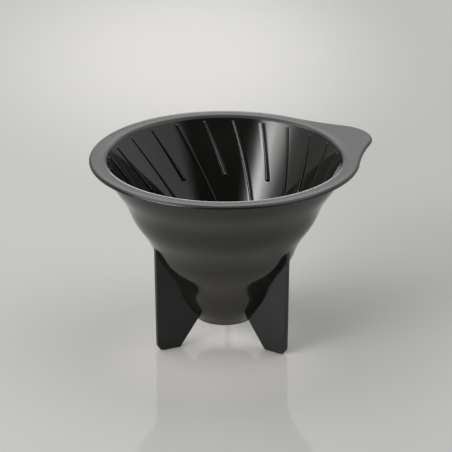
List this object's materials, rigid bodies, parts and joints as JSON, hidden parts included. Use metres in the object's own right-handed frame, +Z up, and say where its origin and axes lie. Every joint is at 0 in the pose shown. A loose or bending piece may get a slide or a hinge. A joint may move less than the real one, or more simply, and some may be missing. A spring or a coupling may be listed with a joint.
{
  "type": "pour-over coffee dripper",
  "caption": "Conical pour-over dripper with spiral ribs inside, a wavy outside, a flat rim with a grip tab and three upright fins as feet.",
  "frame": {"origin": "on the table under the middle of the whole outline; the cone's axis stands 6.4 mm behind it, at x = -0.0064", "axes": "+Z up along the cone's axis, +X towards the grip tab, +Y to the left of the tab seen from the axis; fin_rear points along -X"},
  "size_m": [0.1388, 0.126, 0.093],
  "materials": {
    "cone_plastic": "high gloss black",
    "rim_plastic": "satin gloss black",
    "collar_plastic": "gloss black",
    "fin_plastic": "gloss black"
  },
  "bodies": {
    "root": {"filter_cone": "cone_plastic", "rim_with_tab": "rim_plastic", "outlet_collar": "collar_plastic", "fin_left": "fin_plastic", "fin_rear": "fin_plastic", "fin_right": "fin_plastic"}
  },
  "joints": []
}
